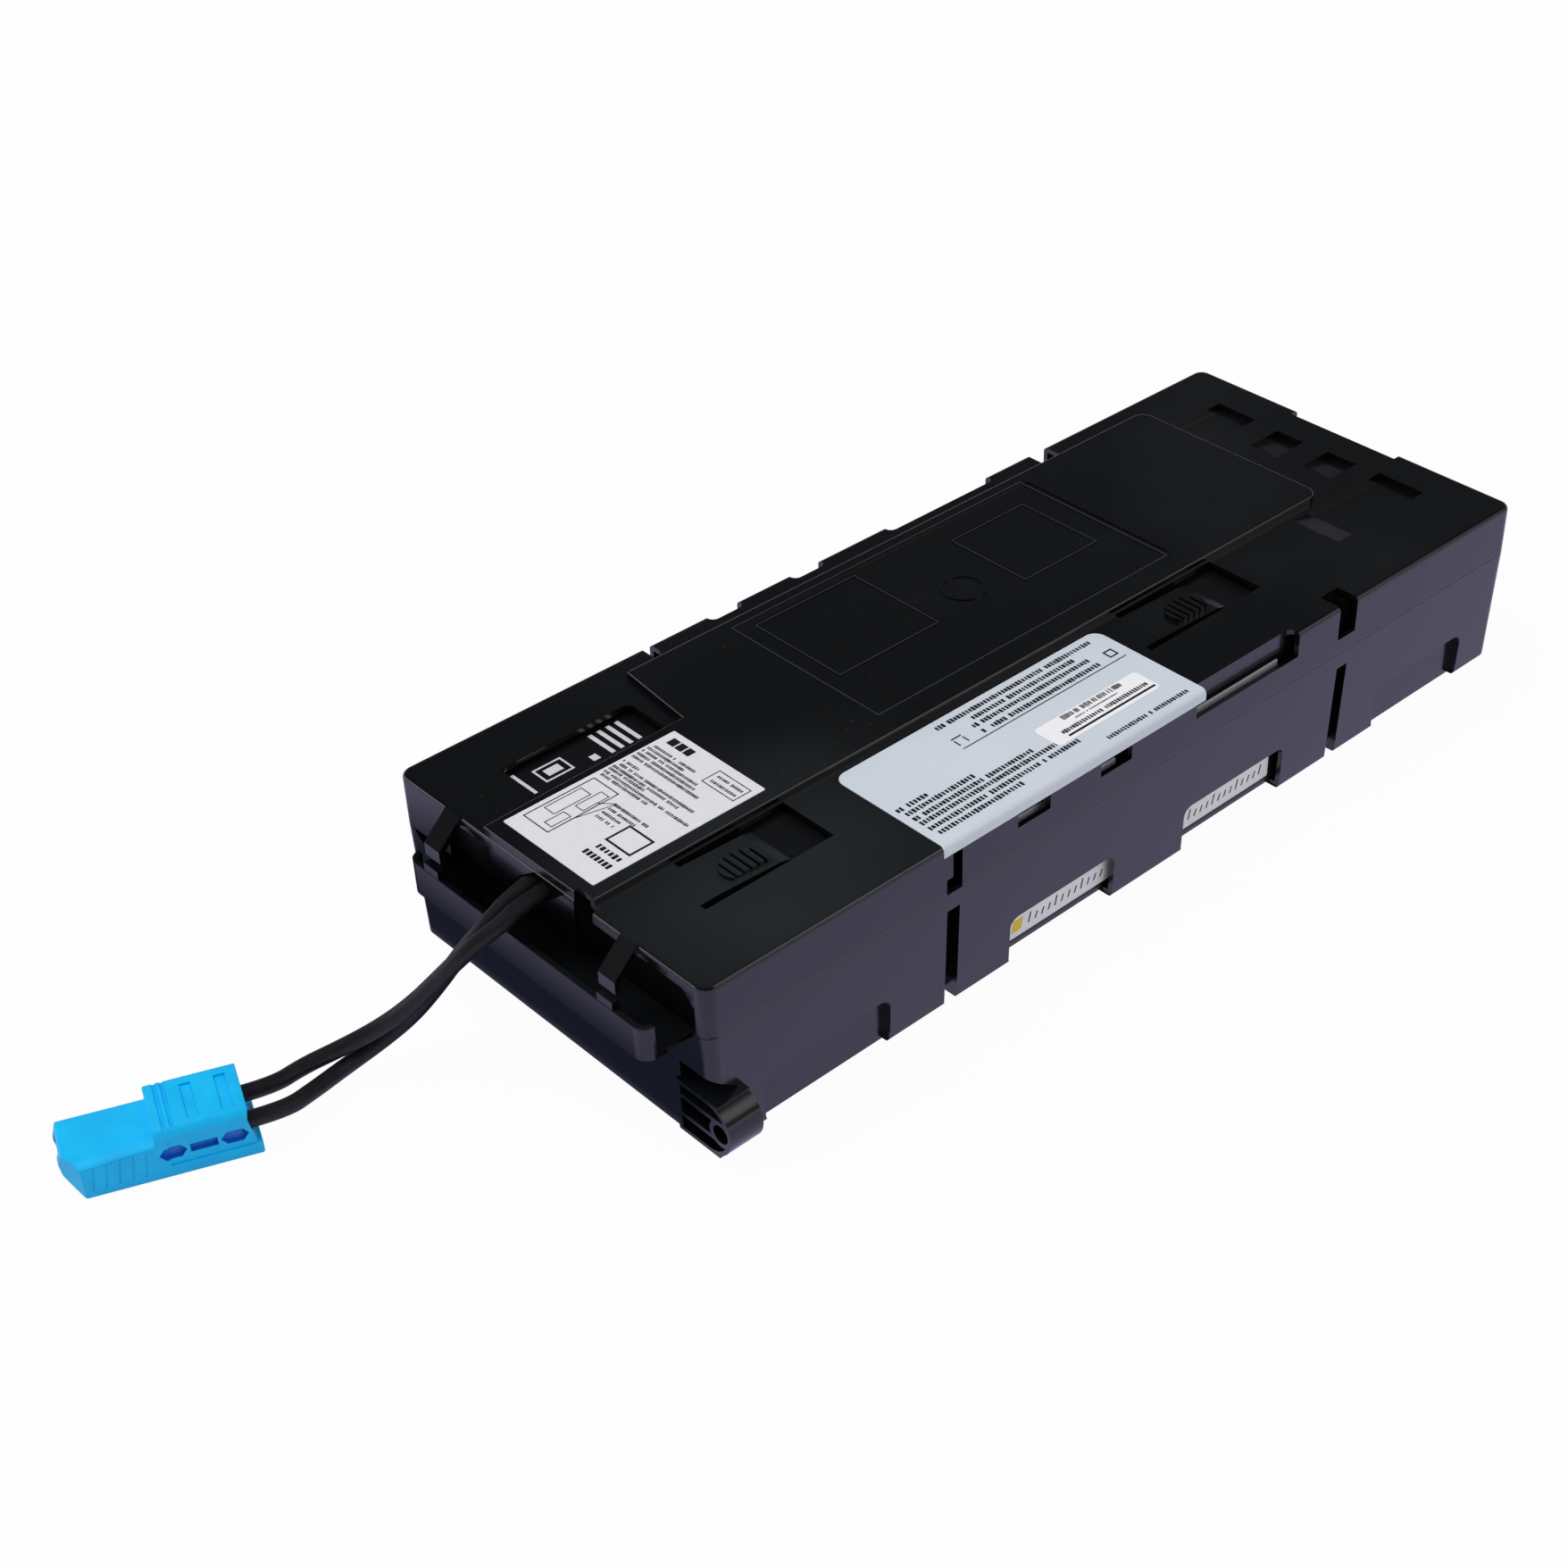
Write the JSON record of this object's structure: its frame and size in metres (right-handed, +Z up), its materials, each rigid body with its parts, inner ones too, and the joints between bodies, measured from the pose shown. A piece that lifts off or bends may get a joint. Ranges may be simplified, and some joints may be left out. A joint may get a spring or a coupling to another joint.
{
  "type": "ups battery cartridge",
  "caption": "Flat black replacement battery cartridge with a two-piece moulded case, edge notches, front cable trough, fixing lug and a pair of leads ending in a blue connector.",
  "frame": {"origin": "middle of the case's underside, on the centre line between its front and back walls", "axes": "+Z up, +Y from the cable end to the back, +X to the side with the fixing lug"},
  "size_m": [0.1715, 0.5836, 0.0742],
  "materials": {
    "case_black": "glossy moulded ABS",
    "battery_case": "satin moulded ABS",
    "tinned_brass": "tin plated",
    "receptacle_sleeve": "soft sleeve",
    "black_jacket": "smooth insulation",
    "red_jacket": "smooth insulation",
    "connector_blue": "satin moulding",
    "silvered_contact": "silver plated",
    "white_label": "coated paper",
    "grey_label": "coated grey film",
    "dark_steel": "blackened"
  },
  "bodies": {
    "root": {"battery_1": "battery_case", "battery_2": "battery_case", "battery_3": "battery_case", "battery_4": "battery_case", "battery_sticker_2": "white_label", "battery_sticker_3": "white_label", "bottom_tray": "case_black", "connector_housing": "connector_blue", "contact_negative": "silvered_contact", "contact_positive": "silvered_contact", "deck_label": "grey_label", "inner_lead_negative": "black_jacket", "inner_lead_positive": "red_jacket", "jumper_1_2": "black_jacket", "jumper_2_3": "black_jacket", "jumper_3_4": "black_jacket", "lead_negative": "black_jacket", "lead_positive": "black_jacket", "receptacle_1_left": "receptacle_sleeve", "receptacle_1_right": "receptacle_sleeve", "receptacle_2_left": "receptacle_sleeve", "receptacle_2_right": "receptacle_sleeve", "receptacle_3_left": "receptacle_sleeve", "receptacle_3_right": "receptacle_sleeve", "receptacle_4_left": "receptacle_sleeve", "receptacle_4_right": "receptacle_sleeve", "screw": "dark_steel", "small_sticker": "white_label", "terminal_1_left": "tinned_brass", "terminal_1_right": "tinned_brass", "terminal_2_left": "tinned_brass", "terminal_2_right": "tinned_brass", "terminal_3_left": "tinned_brass", "terminal_3_right": "tinned_brass", "terminal_4_left": "tinned_brass", "terminal_4_right": "tinned_brass", "tongue_label": "white_label", "top_cover": "case_black"}
  },
  "joints": []
}
